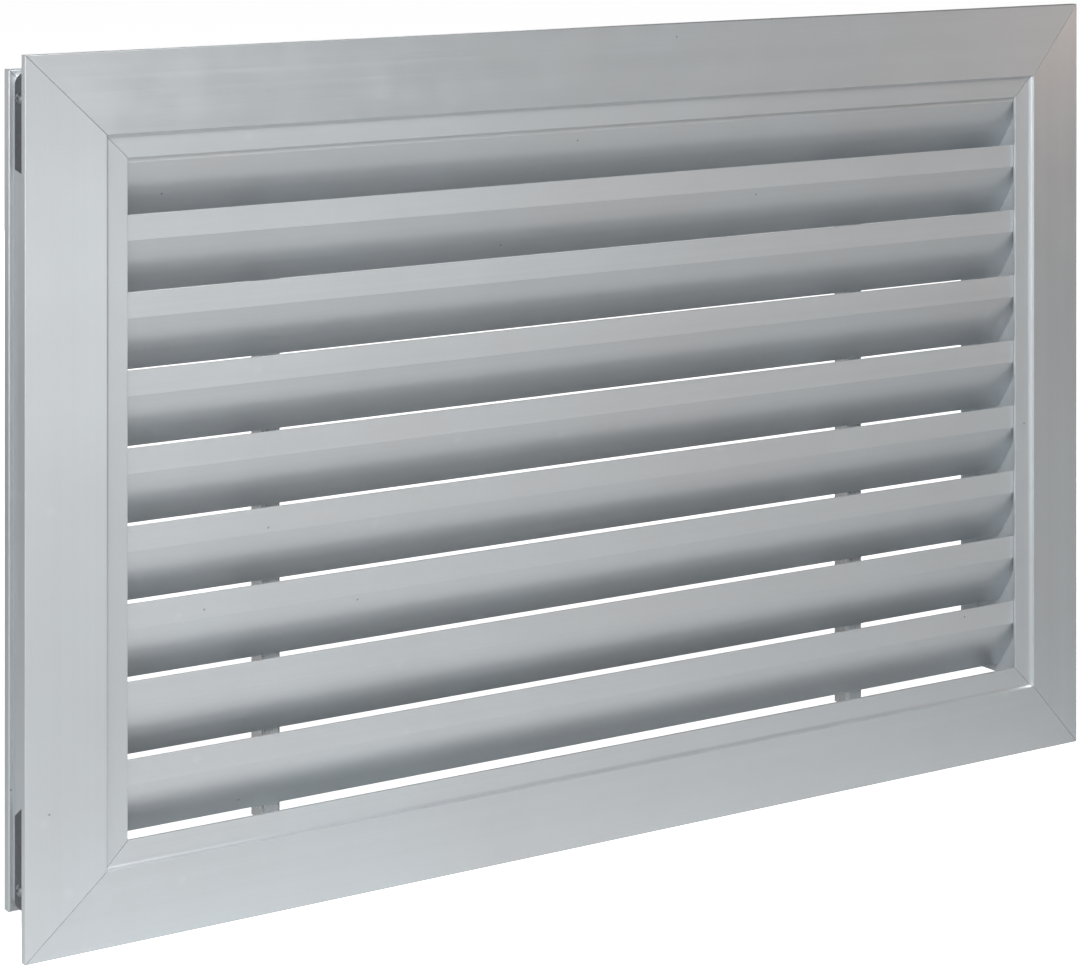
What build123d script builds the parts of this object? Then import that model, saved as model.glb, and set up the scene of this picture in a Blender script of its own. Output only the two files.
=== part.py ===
"""Louvred air grille: a mitred aluminium frame around nine fixed louvre blades.

Axes: X to the right along the blades, +Y into the wall, Z up. Units are millimetres.
The origin is the centre of the opening, on the wall plane that the rim of the flange touches.
"""

import math
import os

from build123d import *

# Overall size of the flange and of the parts that follow from it.
OVERALL_WIDTH = 710.0
OVERALL_HEIGHT = 460.0
FACE_WIDTH = 55.0  # outer rim to opening, on all four sides

# Frame extrusion: the section is drawn with inset from the rim and depth along +Y.
SKIN = 1.8
BAND_WIDTH = 42.2  # sloping outer band of the flange
RIM_DEPTH = 4.2  # straight edge that stands on the wall
RIDGE_HEIGHT = 11.6  # highest line of the flange, in front of the wall
STEP_DOWN = 2.6  # from the ridge back to the narrow inner band
STEP_RADIUS = 2.1  # hollow at the foot of that step
RIM_RADIUS = 0.6
NECK_INSET = 13.9  # outer face of the neck that enters the wall
NECK_DEPTH = 47.0
SHOULDER_OUT = 2.7  # the neck steps out behind the cleat groove
SHOULDER_LENGTH = 5.5
SHOULDER_RADIUS = 1.0
GROOVE_WIDTH = 22.5
CARRIER_RIB_INSET = 38.0
CARRIER_RIB_REACH = 14.0
MERGE = 0.5  # how far one wall of a section runs into the next
SECTION_RADIUS = 0.35
MITRE_GAP = 0.24

# Corner cleats: bent plates that lie in the groove around the neck, against its front rib.
CLEAT_THICKNESS = 1.5
CLEAT_WIDTH = 17.25
CLEAT_FRONT_GAP = 0.25
CLEAT_REAR_LENGTH = 50.3  # both legs end in a slanted cut that is longer at the front
CLEAT_SHORT_FRONT = 53.5
CLEAT_LONG_FRONT = 62.4
CLEAT_BEND = 6.5  # outside radius; the neck below is rounded to match
RIVET_DISTANCE = 13.0  # from the outside corner of a cleat
RIVET_FROM_REAR = 5.5
RIVET_RADIUS = 1.6
RIVET_HEAD_RADIUS = 3.1
RIVET_HEAD_HEIGHT = 1.2
RIVET_TAIL_RADIUS = 2.3
RIVET_TAIL_LENGTH = 2.2
RIVET_TAIL_ROUND = 0.8
RIVET_PIN_RADIUS = 0.9
RIVET_PIN_RECESS = 0.5

# Louvre blades.
BLADE_COUNT = 9
BLADE_PITCH = 40.0
FIRST_BLADE_DROP = 44.5  # rim of the flange down to the top of the first blade
BLADE_FRONT = -7.0
BLADE_SKIN = 1.4
LIP_HEIGHT = 13.2
CREASE_ANGLE = 24.0  # slope just below the lip, from the vertical
TAIL_ANGLE = 36.0
CURVE_START_DROP = 19.0
CURVE_END_DROP = 32.0
BLADE_DROP = 43.0
BLADE_EDGE_RADIUS = 0.3
PORT_BORE_RADIUS = 1.6
PORT_OUTER_RADIUS = 3.1
PORT_SLOT = 1.4
PORT_BEHIND_SKIN = 2.9
UPPER_PORT_DROP = 6.5
LOWER_PORT_ANGLE = 29.0  # slope of the face in front of this port
TRACK_DROP = 33.9
TRACK_SLOT = 3.1
TRACK_WALL = 1.2

# Carriers: channels that hold the ends of the blades.
CARRIER_SKIN = 1.5
END_CLEARANCE = 4.5  # opening edge to the face that the blades butt against
CARRIER_BACK = 33.0
CARRIER_TURN_IN = 12.0
CARRIER_LEG_BACK = 11.0
CARRIER_BOTTOM = -183.0
CARRIER_TOP = 188.0
CARRIER_SCREW_HEIGHTS = (-150.0, 0.0, 150.0)
CARRIER_SCREW_DEPTH = 4.5

# Support bars behind the blades.
BAR_CENTRES = (-204.8, 192.3)
BAR_WIDTH = 11.5
BAR_FRONT = 12.6
BAR_DEPTH = 12.5
BAR_SKIN = 1.5
BAR_RADIUS = 2.2
BAR_BOTTOM = -186.0
BAR_TOP = 188.0

# Screws. Holes are this much larger in radius than the shank that passes through them.
HOLE_CLEARANCE = 0.05
END_SCREW = dict(shank_radius=1.5, length=13.0, head_radius=2.6, head_height=1.9)
BAR_SCREW = dict(shank_radius=1.5, length=5.6, head_radius=2.8, head_height=1.9)
CARRIER_SCREW = dict(shank_radius=1.8, length=7.0, head_radius=3.2, head_height=2.1)
SCREW_TIP = 0.8
HEAD_ROUND = 0.9
RECESS_DEPTH = 1.1
RECESS_WIDTH = 0.7

# Values that follow from the ones above.
HALF_WIDTH = OVERALL_WIDTH / 2
HALF_HEIGHT = OVERALL_HEIGHT / 2
SLOPE = (RIDGE_HEIGHT - RIM_DEPTH) / BAND_WIDTH
BAND_BACK = SKIN * math.hypot(1, SLOPE)
SHOULDER_START = NECK_DEPTH - SHOULDER_LENGTH
GROOVE_START = SHOULDER_START - GROOVE_WIDTH
CLEAT_INSET = NECK_INSET - CLEAT_THICKNESS
CLEAT_X = HALF_WIDTH - CLEAT_INSET
CLEAT_Z = HALF_HEIGHT - CLEAT_INSET
CLEAT_FRONT = GROOVE_START + CLEAT_FRONT_GAP
RIVET_DEPTH = CLEAT_FRONT + CLEAT_WIDTH - RIVET_FROM_REAR
RIB_FACE = HALF_WIDTH - CARRIER_RIB_INSET - SKIN
BLADE_END = HALF_WIDTH - FACE_WIDTH + END_CLEARANCE
FIRST_BLADE_TOP = HALF_HEIGHT - FIRST_BLADE_DROP


def turned(radius, degrees):
    """A vector of this length, turned up from +Y towards +Z."""
    angle = math.radians(degrees)
    return Vector(radius * math.cos(angle), radius * math.sin(angle))


def drawn(points):
    """A flat face from the corners of its outline."""
    return make_face(Polyline(*points, close=True))


def rounded(face, corners, radius):
    """The face with a radius on the corners nearest to these points."""
    chosen = [face.vertices().sort_by_distance((u, v, 0))[0] for u, v in corners]
    return fillet(chosen, radius)


# ---------------------------------------------------------------- frame


def band_underside(inset):
    """Depth of the inner face of the sloping band."""
    return BAND_BACK - RIM_DEPTH - SLOPE * inset


def flange_section():
    inner_front = STEP_DOWN - RIDGE_HEIGHT
    inner_back = inner_front + SKIN
    step_back = BAND_WIDTH - SKIN
    section = drawn([
        (0, 0),
        (0, -RIM_DEPTH),
        (BAND_WIDTH, -RIDGE_HEIGHT),
        (BAND_WIDTH, inner_front),
        (FACE_WIDTH, inner_front),
        (FACE_WIDTH, inner_back),
        (step_back, inner_back),
        (step_back, band_underside(step_back)),
        (SKIN, band_underside(SKIN)),
        (SKIN, 0),
    ])
    section = rounded(section, [(0, -RIM_DEPTH)], RIM_RADIUS)
    section = rounded(section, [(BAND_WIDTH, inner_front)], STEP_RADIUS)
    crisp = [(BAND_WIDTH, -RIDGE_HEIGHT), (FACE_WIDTH, inner_front), (FACE_WIDTH, inner_back)]
    return rounded(section, crisp, SECTION_RADIUS)


def neck_section():
    outer = NECK_INSET - SHOULDER_OUT
    root = band_underside(NECK_INSET) - MERGE
    shoulder_inside = SHOULDER_START + SKIN
    section = drawn([
        (NECK_INSET, root),
        (NECK_INSET, SHOULDER_START),
        (outer, SHOULDER_START),
        (outer, NECK_DEPTH),
        (outer + SKIN, NECK_DEPTH),
        (outer + SKIN, shoulder_inside),
        (NECK_INSET + SKIN, shoulder_inside),
        (NECK_INSET + SKIN, root),
    ])
    section = rounded(section, [(outer, SHOULDER_START)], SHOULDER_RADIUS)
    groove_rib = Pos(NECK_INSET - SHOULDER_OUT, GROOVE_START - SKIN) * Rectangle(
        SHOULDER_OUT + MERGE, SKIN, align=(Align.MIN, Align.MIN)
    )
    return section + groove_rib


def carrier_rib_section():
    root = band_underside(CARRIER_RIB_INSET) - MERGE
    return Pos(CARRIER_RIB_INSET, root) * Rectangle(
        SKIN, CARRIER_RIB_REACH - root, align=(Align.MIN, Align.MIN)
    )


def mitred_rail(length):
    """A length of the frame extrusion along X with its rim at Z = 0, mitred at both ends."""
    along = Plane(origin=(-length / 2, 0, 0), x_dir=(0, 0, -1), z_dir=(1, 0, 0))
    section = flange_section() + neck_section() + carrier_rib_section()
    blank = extrude(along * section, length)
    half = length / 2 - MITRE_GAP * math.sqrt(2) / 2
    outline = drawn([(-half, 0), (half, 0), (half - FACE_WIDTH, -FACE_WIDTH), (FACE_WIDTH - half, -FACE_WIDTH)])
    return blank & extrude(Plane.XZ * outline, NECK_DEPTH * 2, both=True)


def corner_relief():
    """What the neck loses at its corners in the groove, where the cleats bend around it."""
    width = OVERALL_WIDTH - 2 * NECK_INSET
    height = OVERALL_HEIGHT - 2 * NECK_INSET
    kept = RectangleRounded(width, height, CLEAT_BEND - CLEAT_THICKNESS)
    start = Plane(origin=(0, SHOULDER_START, 0), x_dir=(1, 0, 0), z_dir=(0, -1, 0))
    return extrude(start * (Rectangle(width + MERGE, height + MERGE) - kept), GROOVE_WIDTH)


def frame_pieces(holes):
    """The four frame pieces by name, with the holes for the rivets and the carrier screws."""
    relief = corner_relief()
    long_rail = mitred_rail(OVERALL_WIDTH)
    short_rail = mitred_rail(OVERALL_HEIGHT)
    placed = {
        "top_rail": Pos(0, 0, HALF_HEIGHT) * long_rail,
        "bottom_rail": Pos(0, 0, -HALF_HEIGHT) * Rot(0, 180, 0) * long_rail,
        "left_stile": Pos(-HALF_WIDTH, 0, 0) * Rot(0, -90, 0) * short_rail,
        "right_stile": Pos(HALF_WIDTH, 0, 0) * Rot(0, 90, 0) * short_rail,
    }
    return {name: piece - relief - holes for name, piece in placed.items()}


# ---------------------------------------------------------------- corner cleats and rivets


def cleat_leg(front_length):
    """Outline of one leg, from the corner along the first axis, with its slanted end."""
    return drawn([
        (0, 0),
        (front_length, 0),
        (CLEAT_REAR_LENGTH, CLEAT_WIDTH),
        (0, CLEAT_WIDTH),
    ])


def corner_cleat():
    """A cleat with its outside corner on the Y axis and its legs towards -X and -Z."""
    corner = (0, CLEAT_FRONT, 0)
    across = Plane(origin=corner, x_dir=(-1, 0, 0), z_dir=(0, 0, -1)) * cleat_leg(CLEAT_SHORT_FRONT)
    down = Plane(origin=corner, x_dir=(0, 0, -1), z_dir=(1, 0, 0)) * cleat_leg(CLEAT_LONG_FRONT)
    plate = extrude(across, CLEAT_THICKNESS) + extrude(down, -CLEAT_THICKNESS)
    for offset, radius in ((CLEAT_THICKNESS, CLEAT_BEND - CLEAT_THICKNESS), (0, CLEAT_BEND)):
        bend = plate.edges().filter_by(Axis.Y).sort_by_distance((-offset, CLEAT_FRONT, -offset))[0]
        plate = fillet(bend, radius)
    return plate


def corner_cleats(rivet_holes):
    """The four cleats by name: the same part, a quarter turn further at each corner."""
    cleat = corner_cleat()
    corners = {
        "top_right": (CLEAT_X, CLEAT_Z),
        "bottom_right": (CLEAT_X, -CLEAT_Z),
        "bottom_left": (-CLEAT_X, -CLEAT_Z),
        "top_left": (-CLEAT_X, CLEAT_Z),
    }
    cleats = {}
    for turns, (name, (x, z)) in enumerate(corners.items()):
        cleats[f"corner_cleat_{name}"] = Pos(x, 0, z) * Rot(0, 90 * turns, 0) * cleat - rivet_holes
    return cleats


def rivet():
    """A set blind rivet along Z: its head stands on Z = 0 and its tail grips the neck wall."""
    grip = CLEAT_THICKNESS + SKIN
    head_bulge = RIVET_HEAD_HEIGHT * 0.75
    dome = ThreePointArc(
        (RIVET_HEAD_RADIUS, 0),
        (RIVET_HEAD_RADIUS * 0.72, head_bulge),
        (RIVET_PIN_RADIUS, RIVET_HEAD_HEIGHT),
    )
    outline = Polyline(
        (RIVET_PIN_RADIUS, RIVET_HEAD_HEIGHT),
        (RIVET_PIN_RADIUS, RIVET_HEAD_HEIGHT - RIVET_PIN_RECESS),
        (0, RIVET_HEAD_HEIGHT - RIVET_PIN_RECESS),
        (0, -grip - RIVET_TAIL_LENGTH),
        (RIVET_TAIL_RADIUS - RIVET_TAIL_ROUND, -grip - RIVET_TAIL_LENGTH),
        (RIVET_TAIL_RADIUS, -grip - RIVET_TAIL_LENGTH + RIVET_TAIL_ROUND),
        (RIVET_TAIL_RADIUS, -grip),
        (RIVET_RADIUS, -grip),
        (RIVET_RADIUS, 0),
        (RIVET_HEAD_RADIUS, 0),
    )
    return revolve(Plane.XZ * make_face(dome + outline), Axis.Z)


def rivet_seats():
    """Planes whose Z axis leaves the grille where each rivet head sits."""
    seats = []
    for side in (-1, 1):
        for level in (-1, 1):
            on_stile = (side * CLEAT_X, RIVET_DEPTH, level * (CLEAT_Z - RIVET_DISTANCE))
            on_rail = (side * (CLEAT_X - RIVET_DISTANCE), RIVET_DEPTH, level * CLEAT_Z)
            seats.append(Plane(origin=on_stile, z_dir=(side, 0, 0)))
            seats.append(Plane(origin=on_rail, z_dir=(0, 0, level)))
    return seats


def rivet_drill():
    depth = CLEAT_THICKNESS + SKIN + MERGE
    hole = Pos(0, 0, -depth) * extrude(Circle(RIVET_RADIUS + HOLE_CLEARANCE), depth + MERGE)
    return Compound([seat * hole for seat in rivet_seats()])


# ---------------------------------------------------------------- screws


def screw(shank_radius, length, head_radius, head_height):
    """A pan-head screw along Z: the head stands on Z = 0 and the shank points to -Z."""
    head = fillet(
        extrude(Circle(head_radius), head_height).edges().sort_by(Axis.Z)[-1],
        HEAD_ROUND,
    )
    shank = chamfer(
        extrude(Circle(shank_radius), -length).edges().sort_by(Axis.Z)[0],
        SCREW_TIP,
    )
    arm = Pos(0, 0, head_height) * Box(
        head_radius, RECESS_WIDTH, RECESS_DEPTH, align=(Align.CENTER, Align.CENTER, Align.MAX)
    )
    return head + shank - arm - Rot(0, 0, 90) * arm


def screw_group(seats, size):
    """One screw on each seat, as a group of separate solids."""
    one = screw(**size)
    return Compound([seat * one for seat in seats])


def screw_holes(seats, size):
    """Clearance cylinders for the shanks of a group of screws."""
    radius = size["shank_radius"] + HOLE_CLEARANCE
    hole = Pos(0, 0, -size["length"]) * extrude(Circle(radius), size["length"] + MERGE)
    return Compound([seat * hole for seat in seats])


# ---------------------------------------------------------------- blades


def curve_radius():
    """Radius of the front face where it curves from the crease slope to the tail slope."""
    rise = math.sin(math.radians(TAIL_ANGLE)) - math.sin(math.radians(CREASE_ANGLE))
    return (CURVE_END_DROP - CURVE_START_DROP) / rise


def curve_centre():
    """Centre of the curved part, as depth and height from the top of the lip."""
    setback = (CURVE_START_DROP - LIP_HEIGHT) * math.tan(math.radians(CREASE_ANGLE))
    return Vector(BLADE_FRONT + setback, -CURVE_START_DROP) + turned(curve_radius(), CREASE_ANGLE)


def on_curve(degrees):
    """The point of the front face where it slopes this much, and the point behind it."""
    front = curve_centre() - turned(curve_radius(), degrees)
    return front, front + turned(BLADE_SKIN, degrees)


def tail_front(drop):
    """Depth of the front face of the straight tail at this drop."""
    curve_end, _ = on_curve(TAIL_ANGLE)
    return curve_end.X + (drop - CURVE_END_DROP) * math.tan(math.radians(TAIL_ANGLE))


def skin_section():
    """Lip, slope, curve and straight tail of a blade, drawn as depth and height."""
    lip_back = BLADE_FRONT + BLADE_SKIN
    crease_back = (lip_back, BLADE_SKIN * math.tan(math.radians(CREASE_ANGLE / 2)) - LIP_HEIGHT)
    start, start_back = on_curve(CREASE_ANGLE)
    middle, middle_back = on_curve((CREASE_ANGLE + TAIL_ANGLE) / 2)
    end, end_back = on_curve(TAIL_ANGLE)
    tip = Vector(tail_front(BLADE_DROP), -BLADE_DROP)
    tip_back = tip + turned(BLADE_SKIN, TAIL_ANGLE)
    outline = [
        Line((BLADE_FRONT, 0), (BLADE_FRONT, -LIP_HEIGHT)),
        Line((BLADE_FRONT, -LIP_HEIGHT), start),
        ThreePointArc(start, middle, end),
        Line(end, tip),
        Line(tip, tip_back),
        Line(tip_back, end_back),
        ThreePointArc(end_back, middle_back, start_back),
        Line(start_back, crease_back),
        Line(crease_back, (lip_back, 0)),
        Line((lip_back, 0), (BLADE_FRONT, 0)),
    ]
    section = make_face(Wire(outline))
    sharp = [(BLADE_FRONT, 0), (lip_back, 0), (tip.X, tip.Y), (tip_back.X, tip_back.Y)]
    return rounded(section, sharp, BLADE_EDGE_RADIUS)


def port_places():
    """Centre and opening direction of the two screw ports, from the top of the lip."""
    lip_back = BLADE_FRONT + BLADE_SKIN
    upper = Vector(lip_back + PORT_BEHIND_SKIN, -UPPER_PORT_DROP)
    reach = curve_radius() - BLADE_SKIN - PORT_BEHIND_SKIN
    lower = curve_centre() - turned(reach, LOWER_PORT_ANGLE)
    return [(upper, 0.0), (lower, LOWER_PORT_ANGLE)]


def port_sections():
    """Two open rings that take the screws at the ends of the blade, and their bores."""
    rings = []
    bores = []
    for centre, angle in port_places():
        place = Pos(centre.X, centre.Y) * Rot(0, 0, angle)
        rings.append(place * Circle(PORT_OUTER_RADIUS))
        mouth = Rectangle(PORT_OUTER_RADIUS * 2, PORT_SLOT, align=(Align.MIN, Align.CENTER))
        bores.append(place * (Circle(PORT_BORE_RADIUS) + mouth))
    return rings, bores


def track_sections():
    """Two ribs that form the slot for the screws of the support bars."""
    ribs = []
    for drop in (TRACK_DROP - TRACK_SLOT / 2 - TRACK_WALL, TRACK_DROP + TRACK_SLOT / 2):
        start = tail_front(drop) + BLADE_SKIN
        ribs.append(
            Pos(start, -drop) * Rectangle(BAR_FRONT - start, TRACK_WALL, align=(Align.MIN, Align.MAX))
        )
    return ribs


def blade_body():
    """One blade with the top of its lip at Z = 0."""
    rings, bores = port_sections()
    section = skin_section()
    for piece in rings + track_sections():
        section += piece
    for bore in bores:
        section -= bore
    start = Plane(origin=(-BLADE_END, 0, 0), x_dir=(0, 1, 0), z_dir=(1, 0, 0))
    return extrude(start * section, BLADE_END * 2)


def blade_tops():
    return [FIRST_BLADE_TOP - BLADE_PITCH * index for index in range(BLADE_COUNT)]


# ---------------------------------------------------------------- carriers and bars


def right_end_seats():
    """Seats of the blade screws on the outside of the right carrier."""
    face = BLADE_END + CARRIER_SKIN
    return [
        Plane(origin=(face, centre.X, top + centre.Y), z_dir=(1, 0, 0))
        for top in blade_tops()
        for centre, _ in port_places()
    ]


def right_carrier_seats():
    """Seats of the screws that hold the right carrier to the rib of its stile."""
    face = RIB_FACE - CARRIER_SKIN
    return [Plane(origin=(face, CARRIER_SCREW_DEPTH, height), z_dir=(-1, 0, 0)) for height in CARRIER_SCREW_HEIGHTS]


def right_carrier():
    """Channel beside the blades, open to the rear, with its rear edge turned in."""
    web = BLADE_END
    turned_in = web - CARRIER_TURN_IN
    section = drawn([
        (turned_in, CARRIER_BACK - CARRIER_SKIN),
        (web, CARRIER_BACK - CARRIER_SKIN),
        (web, BLADE_FRONT),
        (RIB_FACE, BLADE_FRONT),
        (RIB_FACE, CARRIER_LEG_BACK),
        (RIB_FACE - CARRIER_SKIN, CARRIER_LEG_BACK),
        (RIB_FACE - CARRIER_SKIN, BLADE_FRONT + CARRIER_SKIN),
        (web + CARRIER_SKIN, BLADE_FRONT + CARRIER_SKIN),
        (web + CARRIER_SKIN, CARRIER_BACK),
        (turned_in, CARRIER_BACK),
    ])
    bends = [(web, BLADE_FRONT), (RIB_FACE, BLADE_FRONT), (web + CARRIER_SKIN, CARRIER_BACK)]
    section = rounded(section, bends, CARRIER_SKIN)
    channel = extrude(Pos(0, 0, CARRIER_BOTTOM) * section, CARRIER_TOP - CARRIER_BOTTOM)
    channel -= screw_holes(right_end_seats(), END_SCREW)
    return channel - screw_holes(right_carrier_seats(), CARRIER_SCREW)


def bar_seats(centre):
    """Seats of the screws inside one bar, one behind each blade."""
    face = BAR_FRONT + BAR_SKIN
    return [Plane(origin=(centre, face, top - TRACK_DROP), z_dir=(0, 1, 0)) for top in blade_tops()]


def support_bar(centre):
    """Channel with its web against the blades and its legs to the rear."""
    outside = Pos(0, BAR_FRONT) * Rectangle(BAR_WIDTH, BAR_DEPTH, align=(Align.CENTER, Align.MIN))
    inside = Pos(0, BAR_FRONT + BAR_SKIN) * Rectangle(
        BAR_WIDTH - 2 * BAR_SKIN, BAR_DEPTH, align=(Align.CENTER, Align.MIN)
    )
    half = BAR_WIDTH / 2
    outside = rounded(outside, [(-half, BAR_FRONT), (half, BAR_FRONT)], BAR_RADIUS)
    inner_half = half - BAR_SKIN
    inner_corners = [(-inner_half, BAR_FRONT + BAR_SKIN), (inner_half, BAR_FRONT + BAR_SKIN)]
    inside = rounded(inside, inner_corners, BAR_RADIUS - BAR_SKIN)
    channel = extrude(Pos(centre, 0, BAR_BOTTOM) * (outside - inside), BAR_TOP - BAR_BOTTOM)
    return channel - screw_holes(bar_seats(centre), BAR_SCREW)


# ---------------------------------------------------------------- assembly


def left_of(shape):
    """The mirror image of a right-hand piece."""
    return mirror(shape, about=Plane.YZ)


def build_parts():
    """Every node of the grille by name."""
    rivet_holes = rivet_drill()
    right_holes = screw_holes(right_carrier_seats(), CARRIER_SCREW)
    parts = frame_pieces(Compound([rivet_holes, right_holes, left_of(right_holes)]))
    parts.update(corner_cleats(rivet_holes))
    one_rivet = rivet()
    parts["cleat_rivets"] = Compound([seat * one_rivet for seat in rivet_seats()])

    blade = blade_body()
    for number, top in enumerate(blade_tops(), start=1):
        parts[f"blade_{number}"] = Pos(0, 0, top) * blade

    carrier = right_carrier()
    end_screws = screw_group(right_end_seats(), END_SCREW)
    carrier_screws = screw_group(right_carrier_seats(), CARRIER_SCREW)
    for side, place in (("right", lambda shape: shape), ("left", left_of)):
        parts[f"blade_carrier_{side}"] = place(carrier)
        parts[f"blade_end_screws_{side}"] = place(end_screws)
        parts[f"carrier_screws_{side}"] = place(carrier_screws)

    for side, centre in zip(("left", "right"), BAR_CENTRES):
        parts[f"support_bar_{side}"] = support_bar(centre)
        parts[f"bar_screws_{side}"] = screw_group(bar_seats(centre), BAR_SCREW)
    return parts


def write_parts():
    os.makedirs("parts", exist_ok=True)
    for name, shape in build_parts().items():
        export_step(shape, f"parts/{name}.step")


write_parts()
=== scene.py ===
"""Louvred air grille: materials, floor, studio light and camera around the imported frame.

Everything is in metres in the row's own axes: X to the right along the blades, +Y into the wall, Z up.
Every visible solid is a CAD node, so this script only gives each one its finish and builds the studio.
"""

import math

import bpy
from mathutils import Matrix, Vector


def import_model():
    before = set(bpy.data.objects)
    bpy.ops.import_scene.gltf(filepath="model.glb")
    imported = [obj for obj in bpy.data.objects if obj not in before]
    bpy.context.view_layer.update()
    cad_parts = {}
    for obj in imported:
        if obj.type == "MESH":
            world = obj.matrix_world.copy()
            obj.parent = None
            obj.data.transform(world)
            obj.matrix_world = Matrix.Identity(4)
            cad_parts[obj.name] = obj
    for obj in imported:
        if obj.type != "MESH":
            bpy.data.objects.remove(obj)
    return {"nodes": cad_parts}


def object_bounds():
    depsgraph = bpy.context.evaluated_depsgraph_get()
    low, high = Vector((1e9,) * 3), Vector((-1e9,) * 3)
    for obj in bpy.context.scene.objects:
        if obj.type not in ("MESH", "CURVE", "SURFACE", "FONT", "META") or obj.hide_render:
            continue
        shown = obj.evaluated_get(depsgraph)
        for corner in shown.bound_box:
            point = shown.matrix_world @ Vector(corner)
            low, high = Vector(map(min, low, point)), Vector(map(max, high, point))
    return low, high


# Camera: level, turned to the right, its picture shifted down.
CAMERA_PLACE = (-1.01864, -1.49972, 0.36571)
CAMERA_YAW = 32.414
CAMERA_LENS = 106.81
CAMERA_SENSOR = 36.0
CAMERA_SHIFT = (0.0343, -0.6464)

# Finishes. Colours are linear.
FRAME_COLOUR = (0.66, 0.695, 0.715)
BLADE_COLOUR = (0.69, 0.722, 0.742)
CARRIER_COLOUR = (0.64, 0.68, 0.71)
BAR_COLOUR = (0.80, 0.82, 0.83)
# The cleat steel colour is darkened with the painted shade of the recess that the cleats sit in.
SHADED_STEEL_COLOUR = (0.13, 0.138, 0.15)
RIVET_COLOUR = (0.30, 0.32, 0.33)
SCREW_COLOUR = (0.42, 0.42, 0.40)

# Light colour for scuffs (wear) and for edges lightened as wear and as a painted highlight.
WEAR_AND_HIGHLIGHT_ALUMINIUM = (0.86, 0.88, 0.89)
WORN_ZINC = (0.5, 0.51, 0.52)
WORN_PLATING = (0.72, 0.72, 0.70)
PIT_COLOUR = (0.12, 0.12, 0.12)
# Painted shade for the recesses of the fasteners.
RECESS_SHADE_COLOUR = (0.07, 0.07, 0.065)

# Noise textures keep nearly all their values inside this range.
NOISE_LOW, NOISE_HIGH = 0.3, 0.7

# Marks on the anodised faces: how many per metre, their full and faded radius, and the share of places used.
SCUFFS = dict(per_metre=16.0, inner=0.0004, outer=0.0035, share=0.30)
PITS = dict(per_metre=12.0, inner=0.0003, outer=0.0008, share=0.22)
SCUFF_STRENGTH = 0.16
PIT_STRENGTH = 0.55
PIT_SEED_STEP = 3.0

# Seeds that keep the pattern of each blade different.
BLADE_SEED = 10.0
BLADE_SEED_STEP = 1.37

# Numbers of the axes that an extrusion can follow.
ALONG_X = 0
ALONG_Z = 2

# The floor is white to the camera. Everything else sees its grey bounce and two smooth glows.
FLOOR_SIZE = 14.0
FLOOR_GAP = 0.0002
FLOOR_WHITE = 0.96
PAPER_SHADES = (0.90, 0.94)
FLOOR_BOUNCE = (0.40, 0.40, 0.40)
GLOW_PLACE = (-0.60, -0.05)
GLOWS = [((1.4, 0.32), 0.23), ((1.3, 1.1), 0.164)]  # reach along X and Y, strength

WORLD_COLOUR = (1.0, 1.0, 1.0)
WORLD_STRENGTH = 0.003


# ---------------------------------------------------------------- node helpers


class Shader:
    """A material's node tree, with short calls for adding and joining its nodes."""

    def __init__(self, name):
        self.material = bpy.data.materials.new(name)
        self.material.use_nodes = True
        self.tree = self.material.node_tree
        self.tree.nodes.clear()

    def add(self, kind, settings=None, **inputs):
        """A node with these settings; an input is a value or another node's output."""
        node = self.tree.nodes.new(kind)
        for key, value in (settings or {}).items():
            setattr(node, key, value)
        for key, value in inputs.items():
            self.feed(node, key.replace("_", " "), value)
        return node

    def feed(self, node, key, value):
        socket = node.inputs[int(key) if key.isdigit() else key]
        if isinstance(value, bpy.types.NodeSocket):
            self.tree.links.new(value, socket)
        else:
            socket.default_value = value

    def math(self, operation, first, second=0.0):
        node = self.add("ShaderNodeMath", {"operation": operation})
        self.feed(node, "0", first)
        self.feed(node, "1", second)
        return node.outputs[0]

    def spread(self, value, low, high, to_low, to_high):
        """The value mapped from one range to another and held inside it."""
        node = self.add("ShaderNodeMapRange")
        keys = ("Value", "From Min", "From Max", "To Min", "To Max")
        for key, number in zip(keys, (value, low, high, to_low, to_high)):
            self.feed(node, key, number)
        return node.outputs[0]

    def swing(self, noise, amount):
        """Noise turned into a value between minus and plus this amount."""
        return self.spread(noise, NOISE_LOW, NOISE_HIGH, -amount, amount)

    def mix(self, share, first, second, blend="MIX"):
        """Two colours mixed by a share from 0 to 1."""
        node = self.add("ShaderNodeMix", {"data_type": "RGBA", "blend_type": blend})
        self.feed(node, "0", share)
        self.feed(node, "6", first)
        self.feed(node, "7", second)
        return node.outputs[2]

    def sum(self, first, second):
        """Two surfaces added together."""
        node = self.add("ShaderNodeAddShader")
        self.feed(node, "0", first.outputs[0])
        self.feed(node, "1", second.outputs[0])
        return node.outputs[0]

    def noise(self, scales, detail=2.0, roughness=0.5, offset=(0, 0, 0)):
        """Noise whose features are 1 / scale metres long on each axis."""
        place = self.add("ShaderNodeTexCoord").outputs["Object"]
        mapping = self.add("ShaderNodeMapping", Vector=place, Scale=scales, Location=offset)
        texture = self.add(
            "ShaderNodeTexNoise", Vector=mapping.outputs[0], Scale=1.0, Detail=detail, Roughness=roughness
        )
        return texture.outputs[0]

    def finish(self, surface):
        output = self.add("ShaderNodeOutputMaterial")
        self.tree.links.new(surface, output.inputs["Surface"])
        return self.material


def rgba(colour):
    return (*colour, 1.0)


def stretched(axis, along, across):
    """Noise scales that draw lines along one axis."""
    return tuple(along if index == axis else across for index in range(3))


# ---------------------------------------------------------------- materials


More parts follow.
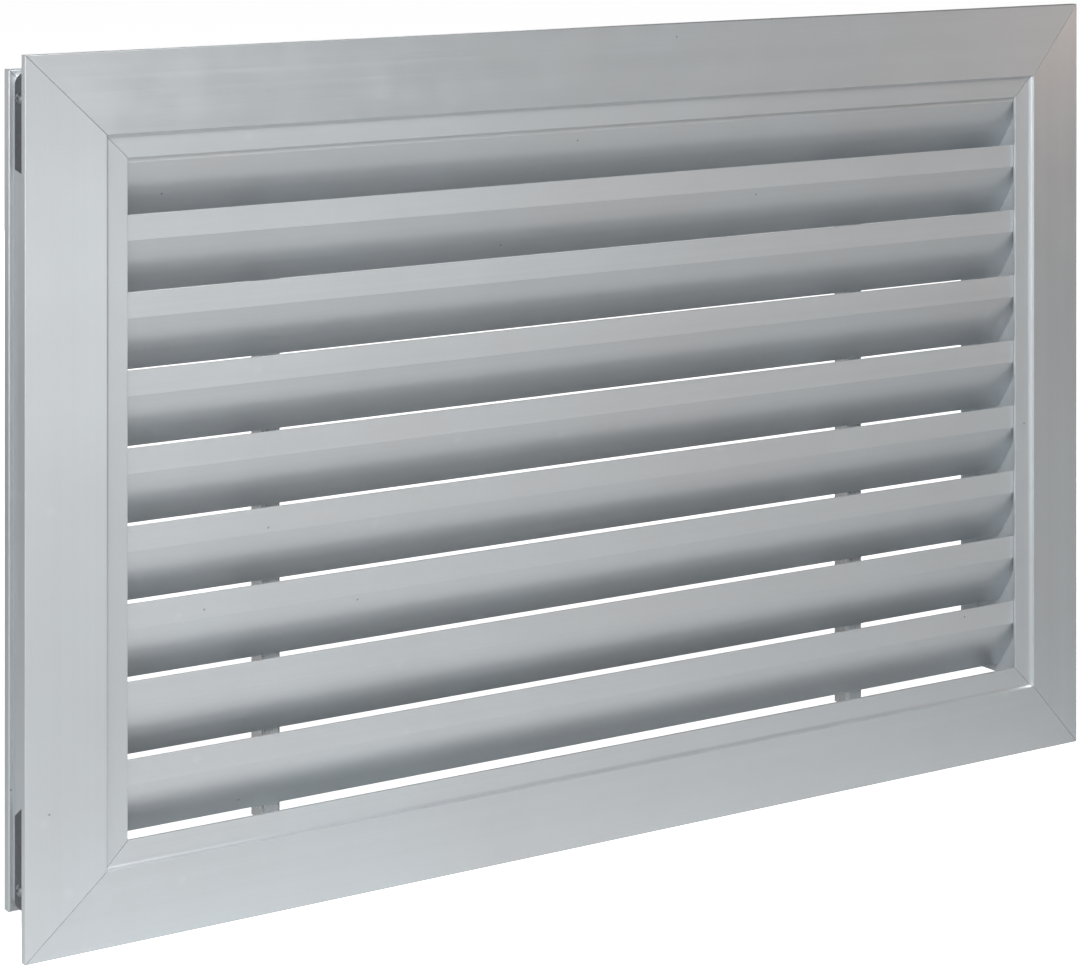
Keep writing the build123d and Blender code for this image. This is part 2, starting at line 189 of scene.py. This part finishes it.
def marks(shader, per_metre, inner, outer, share, seed):
    """Small round marks on the faces, about per_metre of them in a metre, in this share of the places."""
    place = shader.add("ShaderNodeTexCoord").outputs["Object"]
    axes = shader.add("ShaderNodeSeparateXYZ", Vector=place)
    flat = shader.add("ShaderNodeCombineXYZ", X=axes.outputs["X"], Y=axes.outputs["Z"], Z=0.0)
    shifted = shader.add("ShaderNodeMapping", Vector=flat.outputs[0], Location=(seed, seed * 0.6, 0))
    cells = shader.add(
        "ShaderNodeTexVoronoi", {"voronoi_dimensions": "2D"}, Vector=shifted.outputs[0], Scale=per_metre
    )
    spot = shader.spread(cells.outputs["Distance"], inner * per_metre, outer * per_metre, 1.0, 0.0)
    chance = shader.add("ShaderNodeSeparateColor", Color=cells.outputs["Color"]).outputs[0]
    return shader.math("MULTIPLY", spot, shader.math("LESS_THAN", chance, share))


def edge_mask(shader, radius, low, high):
    """1 on the sharp edges of a piece and 0 on its flats."""
    bevel = shader.add("ShaderNodeBevel", {"samples": 6}, Radius=radius)
    normal = shader.add("ShaderNodeNewGeometry").outputs["Normal"]
    dot = shader.add("ShaderNodeVectorMath", {"operation": "DOT_PRODUCT"})
    shader.feed(dot, "0", bevel.outputs[0])
    shader.feed(dot, "1", normal)
    return shader.spread(shader.math("SUBTRACT", 1.0, dot.outputs["Value"]), low, high, 0.0, 1.0)


def anodised(name, colour, axis, roughness=0.38, metallic=0.75, seed=0.0):
    """Satin anodised extrusion: fine die lines along one axis, faint clouding, and edges lightened as wear
    and as a painted highlight.
    """
    shader = Shader(name)
    offset = (seed, seed * 0.7, seed * 1.3)
    die_lines = shader.noise(stretched(axis, 0.9, 900), detail=3.0, roughness=0.6, offset=offset)
    bands = shader.noise(stretched(axis, 0.6, 110), detail=2.0, offset=offset)
    clouds = shader.noise((7, 7, 7), detail=4.0, roughness=0.62, offset=offset)
    grain = shader.noise((2600, 2600, 2600), detail=1.0)
    handling = shader.noise((34, 34, 34), detail=5.0, roughness=0.7, offset=offset)
    edges = edge_mask(shader, 0.0007, 0.015, 0.22)

    tone = shader.math("ADD", shader.swing(die_lines, 0.012), 1.0)
    tone = shader.math("ADD", tone, shader.swing(bands, 0.012))
    tone = shader.math("ADD", tone, shader.swing(clouds, 0.028))
    tone = shader.math("ADD", tone, shader.swing(grain, 0.012))
    tinted = shader.mix(
        shader.spread(clouds, 0.35, 0.65, 0.0, 1.0),
        rgba((colour[0] * 1.012, colour[1] * 0.998, colour[2] * 0.996)),
        rgba((colour[0] * 0.988, colour[1] * 1.001, colour[2] * 1.006)),
    )
    toned = shader.mix(1.0, tinted, tone, "MULTIPLY")
    scuffs = marks(shader, seed=seed, **SCUFFS)
    scuffed = shader.mix(shader.math("MULTIPLY", scuffs, SCUFF_STRENGTH), toned, rgba(WEAR_AND_HIGHLIGHT_ALUMINIUM))
    # Edges lightened: partly wear, partly a painted highlight along the edges.
    worn = shader.mix(shader.math("MULTIPLY", edges, 0.30), scuffed, rgba(WEAR_AND_HIGHLIGHT_ALUMINIUM))
    pits = marks(shader, seed=seed + PIT_SEED_STEP, **PITS)
    pitted = shader.mix(shader.math("MULTIPLY", pits, PIT_STRENGTH), worn, rgba(PIT_COLOUR))

    rough = shader.math("ADD", roughness, shader.swing(die_lines, 0.022))
    rough = shader.math("ADD", rough, shader.spread(handling, 0.45, 0.75, 0.0, 0.05))
    rough = shader.math("SUBTRACT", rough, shader.math("MULTIPLY", edges, 0.10))

    height = shader.math("ADD", die_lines, shader.math("MULTIPLY", grain, 0.35))
    bump = shader.add("ShaderNodeBump", Strength=0.16, Distance=0.00003, Height=height)
    tangent = shader.add("ShaderNodeCombineXYZ")
    tangent.inputs[axis].default_value = 1.0
    surface = shader.add(
        "ShaderNodeBsdfPrincipled",
        Base_Color=pitted,
        Metallic=metallic,
        Roughness=rough,
        Anisotropic=0.35,
        Anisotropic_Rotation=0.25,
        Normal=bump.outputs[0],
        Tangent=tangent.outputs[0],
    )
    return shader.finish(surface.outputs[0])


def galvanised(name, colour):
    """Zinc-coated sheet, its colour darkened with painted shade: soft spangle, small stains and brighter cut
    edges.
    """
    shader = Shader(name)
    place = shader.add("ShaderNodeTexCoord").outputs["Object"]
    spangle = shader.add("ShaderNodeTexVoronoi", Vector=place, Scale=420.0)
    stains = shader.noise((90, 90, 90), detail=5.0, roughness=0.65)
    edges = edge_mask(shader, 0.0006, 0.02, 0.3)
    tone = shader.math("ADD", shader.spread(spangle.outputs["Color"], 0.0, 1.0, -0.14, 0.14), 1.0)
    tone = shader.math("ADD", tone, shader.swing(stains, 0.18))
    toned = shader.mix(1.0, rgba(colour), tone, "MULTIPLY")
    worn = shader.mix(shader.math("MULTIPLY", edges, 0.5), toned, rgba(WORN_ZINC))
    rough = shader.math("ADD", 0.5, shader.spread(stains, NOISE_LOW, NOISE_HIGH, -0.08, 0.10))
    bump = shader.add("ShaderNodeBump", Strength=0.25, Distance=0.00008, Height=stains)
    surface = shader.add(
        "ShaderNodeBsdfPrincipled", Base_Color=worn, Metallic=0.6, Roughness=rough, Normal=bump.outputs[0]
    )
    return shader.finish(surface.outputs[0])


def plated(name, colour, roughness=0.32):
    """Small turned or headed fastener: bright plating, painted shade darkening its recess, worn on its rim.
    """
    shader = Shader(name)
    film = shader.noise((400, 400, 400), detail=4.0, roughness=0.6)
    edges = edge_mask(shader, 0.0004, 0.03, 0.4)
    occlusion = shader.add("ShaderNodeAmbientOcclusion", {"samples": 4}, Distance=0.002)
    tone = shader.math("ADD", shader.swing(film, 0.12), 1.0)
    toned = shader.mix(1.0, rgba(colour), tone, "MULTIPLY")
    # Painted shade: darker where ambient occlusion finds a recess.
    recess_shaded = shader.mix(
        shader.spread(occlusion.outputs["AO"], 0.35, 0.95, 0.5, 0.0), toned, rgba(RECESS_SHADE_COLOUR)
    )
    worn = shader.mix(shader.math("MULTIPLY", edges, 0.4), recess_shaded, rgba(WORN_PLATING))
    rough = shader.math("ADD", roughness, shader.spread(film, NOISE_LOW, NOISE_HIGH, -0.06, 0.10))
    surface = shader.add("ShaderNodeBsdfPrincipled", Base_Color=worn, Metallic=0.85, Roughness=rough)
    return shader.finish(surface.outputs[0])


def finishes():
    """The material of every CAD node by name."""
    rails = {
        "top_rail": anodised("anodised_top_rail", FRAME_COLOUR, ALONG_X, seed=0.3),
        "bottom_rail": anodised("anodised_bottom_rail", FRAME_COLOUR, ALONG_X, seed=1.9),
        "left_stile": anodised("anodised_left_stile", FRAME_COLOUR, ALONG_Z, seed=3.1),
        "right_stile": anodised("anodised_right_stile", FRAME_COLOUR, ALONG_Z, seed=4.7),
    }
    carrier = anodised("anodised_carrier", CARRIER_COLOUR, ALONG_Z, roughness=0.50, metallic=0.35, seed=6.0)
    bar = anodised("anodised_bar", BAR_COLOUR, ALONG_Z, roughness=0.26, metallic=0.85, seed=7.0)
    steel = galvanised("galvanised_steel", SHADED_STEEL_COLOUR)
    rivet = plated("rivet_aluminium", RIVET_COLOUR, roughness=0.42)
    screw = plated("plated_screws", SCREW_COLOUR)
    chosen = dict(rails)
    for name in frame["nodes"]:
        if name.startswith("blade_carrier"):
            chosen[name] = carrier
        elif name.startswith("support_bar"):
            chosen[name] = bar
        elif name.startswith("corner_cleat"):
            chosen[name] = steel
        elif name == "cleat_rivets":
            chosen[name] = rivet
        elif "screws" in name:
            chosen[name] = screw
        elif name.startswith("blade_"):
            number = int(name.split("_")[1])
            seed = BLADE_SEED + BLADE_SEED_STEP * number
            chosen[name] = anodised(f"anodised_blade_{number}", BLADE_COLOUR, ALONG_X, seed=seed)
    return chosen


def dress():
    """Each CAD node gets its one material."""
    for name, material in finishes().items():
        node = frame["nodes"][name]
        node.data.materials.clear()
        node.data.materials.append(material)


# ---------------------------------------------------------------- studio


def floor():
    """A wide pale sheet just under the grille, bright to the camera and soft in its reflected light."""
    low = cad_box[0]
    half = FLOOR_SIZE / 2
    corners = [(-half, -half), (half, -half), (half, half), (-half, half)]
    mesh = bpy.data.meshes.new("floor")
    mesh.from_pydata([(x, y, low[2] - FLOOR_GAP) for x, y in corners], [], [(0, 1, 2, 3)])
    sheet = bpy.data.objects.new("floor", mesh)
    bpy.context.scene.collection.objects.link(sheet)

    shader = Shader("floor_white")
    paper = shader.noise((3, 3, 3), detail=3.0)
    shade = shader.spread(paper, NOISE_LOW, NOISE_HIGH, *PAPER_SHADES)
    paper_white = shader.add("ShaderNodeBsdfDiffuse", Color=shade)
    shown = shader.sum(paper_white, shader.add("ShaderNodeEmission", Strength=FLOOR_WHITE))

    place = shader.add("ShaderNodeTexCoord").outputs["Object"]
    glow = 0.0
    for reach, strength in GLOWS:
        ellipse = shader.add(
            "ShaderNodeMapping",
            {"vector_type": "TEXTURE"},
            Vector=place,
            Location=(*GLOW_PLACE, low[2] - FLOOR_GAP),
            Scale=(*reach, 1.0),
        )
        away = shader.add("ShaderNodeVectorMath", {"operation": "LENGTH"})
        shader.feed(away, "0", ellipse.outputs[0])
        fade = shader.add("ShaderNodeMapRange", {"interpolation_type": "SMOOTHSTEP"})
        shader.feed(fade, "Value", away.outputs["Value"])
        shader.feed(fade, "To Min", strength)
        shader.feed(fade, "To Max", 0.0)
        glow = shader.math("ADD", fade.outputs[0], glow)
    bounce = shader.add("ShaderNodeBsdfDiffuse", Color=rgba(FLOOR_BOUNCE))
    reflected = shader.sum(bounce, shader.add("ShaderNodeEmission", Strength=glow))

    seen = shader.add("ShaderNodeLightPath").outputs["Is Camera Ray"]
    both = shader.add("ShaderNodeMixShader")
    shader.feed(both, "0", seen)
    shader.feed(both, "1", reflected)
    shader.feed(both, "2", shown)
    mesh.materials.append(shader.finish(both.outputs[0]))


def soft_light(name, place, target, size, power, colour=(1, 1, 1)):
    """A rectangular soft light that the camera doesn't see, turned towards a point."""
    data = bpy.data.lights.new(name, "AREA")
    data.shape = "RECTANGLE"
    data.size, data.size_y = size
    data.energy = power
    data.color = colour
    lamp = bpy.data.objects.new(name, data)
    lamp.location = place
    towards = [b - a for a, b in zip(place, target)]
    yaw = math.atan2(towards[1], towards[0]) - math.pi / 2
    tilt = math.atan2(math.hypot(towards[0], towards[1]), -towards[2])
    lamp.rotation_euler = (tilt, 0, yaw)
    lamp.visible_camera = False
    bpy.context.scene.collection.objects.link(lamp)


# Soft panels around the grille. Their powers were fitted so that its faces have the photograph's brightness.
LIGHTS = {
    "near_left": dict(place=(-1.3, -1.0, 0.5), target=(-0.3, 0, 0), size=(1.0, 1.2), power=3.7),
    "left_side": dict(place=(-2.2, -0.5, 0.15), target=(0, 0, 0), size=(0.8, 0.9), power=8.3),
    "front_right": dict(place=(2.2, -2.6, 0.5), target=(0, 0, 0), size=(1.5, 2.0), power=2.3),
    "low_front": dict(place=(-0.1, -1.9, -0.12), target=(-0.1, 0, 0.05), size=(2.6, 0.2), power=3.3),
    "back_left": dict(place=(-2.2, 1.8, 0.2), target=(0, 0, 0), size=(2.4, 2.4), power=11.6),
    "back": dict(place=(0.3, 2.5, 0.2), target=(0, 0, 0), size=(2.5, 2.0), power=33.4),
    "top_front": dict(place=(-0.5, -2.0, 2.2), target=(0, 0, 0), size=(2.5, 1.5), power=102.0),
    "warm_right": dict(
        place=(1.7, -0.8, 0.35), target=(0.35, 0, 0.2), size=(0.6, 0.5), power=1.6, colour=(1.0, 0.7, 0.58)
    ),
}


def world():
    """White to the camera and almost dark to everything else."""
    scene_world = bpy.data.worlds.new("studio")
    scene_world.use_nodes = True
    tree = scene_world.node_tree
    background = tree.nodes["Background"]
    background.inputs["Color"].default_value = rgba(WORLD_COLOUR)
    background.inputs["Strength"].default_value = WORLD_STRENGTH
    white = tree.nodes.new("ShaderNodeBackground")
    both = tree.nodes.new("ShaderNodeMixShader")
    seen = tree.nodes.new("ShaderNodeLightPath").outputs["Is Camera Ray"]
    tree.links.new(seen, both.inputs[0])
    tree.links.new(background.outputs[0], both.inputs[1])
    tree.links.new(white.outputs[0], both.inputs[2])
    tree.links.new(both.outputs[0], tree.nodes["World Output"].inputs["Surface"])
    bpy.context.scene.world = scene_world


def camera():
    """The photograph's viewpoint."""
    data = bpy.data.cameras.new("camera")
    data.sensor_fit = "HORIZONTAL"
    data.sensor_width = CAMERA_SENSOR
    data.lens = CAMERA_LENS
    data.shift_x, data.shift_y = CAMERA_SHIFT
    viewer = bpy.data.objects.new("camera", data)
    viewer.location = CAMERA_PLACE
    viewer.rotation_euler = (math.pi / 2, 0, -math.radians(CAMERA_YAW))
    bpy.context.scene.collection.objects.link(viewer)
    bpy.context.scene.camera = viewer


def studio():
    floor()
    world()
    for name, settings in LIGHTS.items():
        soft_light(name, **settings)
    camera()
    bpy.context.scene.view_settings.view_transform = "Standard"


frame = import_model()
cad_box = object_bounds()
dress()
studio()
